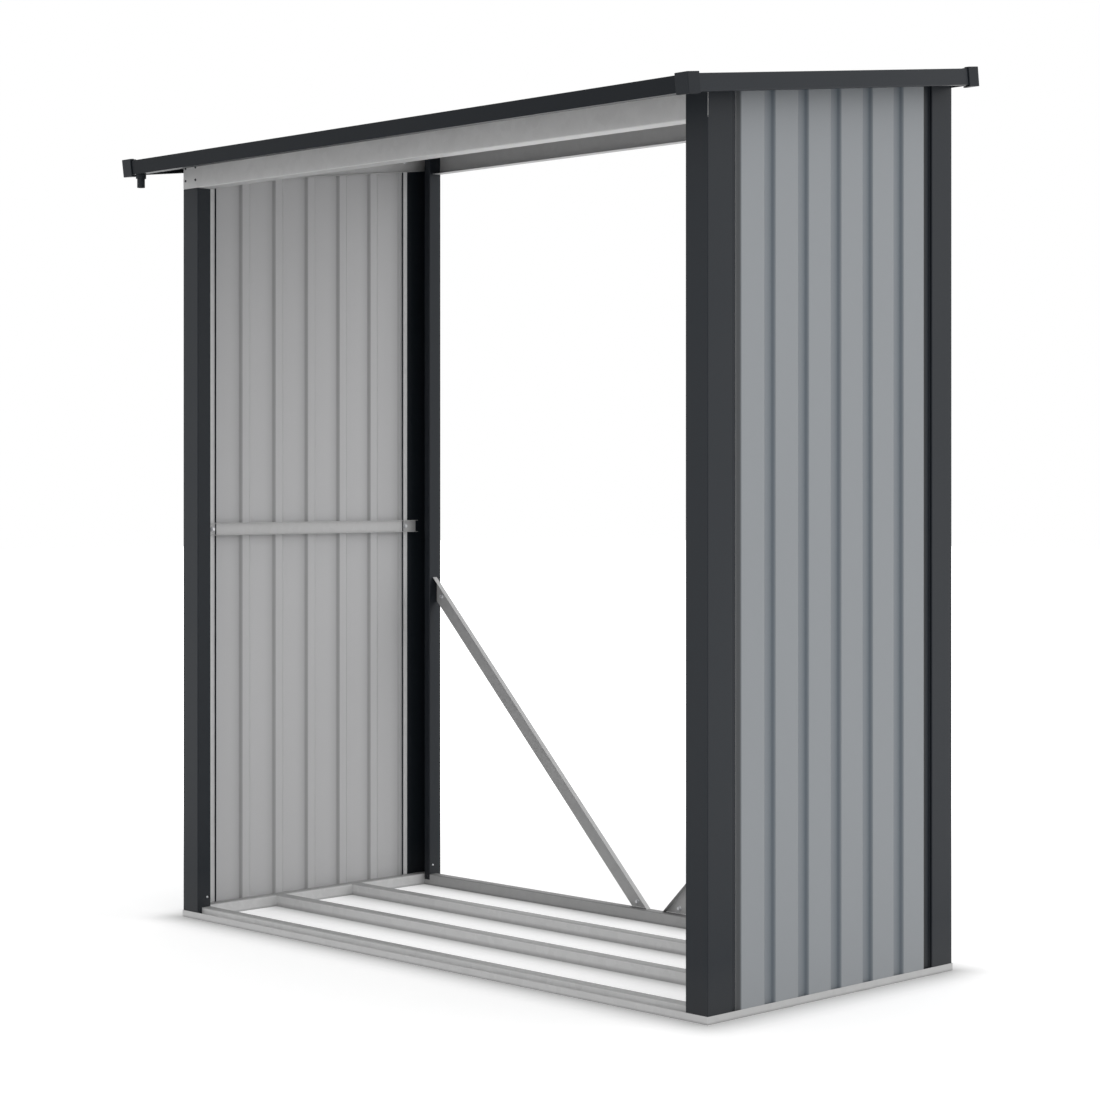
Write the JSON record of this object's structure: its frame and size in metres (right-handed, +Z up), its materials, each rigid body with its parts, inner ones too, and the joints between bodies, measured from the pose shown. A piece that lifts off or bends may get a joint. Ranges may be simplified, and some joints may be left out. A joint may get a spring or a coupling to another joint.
{
  "type": "sheet-steel log store",
  "caption": "Open-fronted log store in folded sheet steel with ribbed side walls, dark corner posts, an open base frame, rear braces and a low-pitch roof falling to a front gutter.",
  "frame": {"origin": "on the ground under the middle of the whole store's outline, roof included", "axes": "+X to the right as seen from the open front, +Y to the rear, +Z up"},
  "size_m": [1.886, 0.9452, 1.9872],
  "materials": {
    "anthracite_paint": "satin anthracite paint on folded sheet",
    "blue_grey_paint": "satin light blue-grey paint outside, plain grey back coat inside",
    "galvanised_steel": "dull even zinc coating",
    "black_plastic": "moulded, fine matt grain"
  },
  "bodies": {
    "root": {"front_left_post": "anthracite_paint", "front_right_post": "anthracite_paint", "rear_left_post": "anthracite_paint", "rear_right_post": "anthracite_paint", "front_fascia": "anthracite_paint", "rear_fascia": "anthracite_paint", "left_fascia": "anthracite_paint", "right_fascia": "anthracite_paint", "gutter_floor": "anthracite_paint", "left_wall_panel": "blue_grey_paint", "right_wall_panel": "blue_grey_paint", "left_roof_sheet": "blue_grey_paint", "middle_roof_sheet": "blue_grey_paint", "right_roof_sheet": "blue_grey_paint", "front_sill": "galvanised_steel", "rear_sill": "galvanised_steel", "left_sill": "galvanised_steel", "right_sill": "galvanised_steel", "front_floor_rail": "galvanised_steel", "rear_floor_rail": "galvanised_steel", "left_front_upright": "galvanised_steel", "left_rear_upright": "galvanised_steel", "right_front_upright": "galvanised_steel", "right_rear_upright": "galvanised_steel", "left_mid_rail": "galvanised_steel", "right_mid_rail": "galvanised_steel", "left_top_rail": "galvanised_steel", "right_top_rail": "galvanised_steel", "front_beam": "galvanised_steel", "rear_beam": "galvanised_steel", "left_brace": "galvanised_steel", "right_brace": "galvanised_steel", "front_left_cap": "black_plastic", "front_right_cap": "black_plastic", "rear_left_cap": "black_plastic", "rear_right_cap": "black_plastic", "gutter_spout": "black_plastic"}
  },
  "joints": []
}
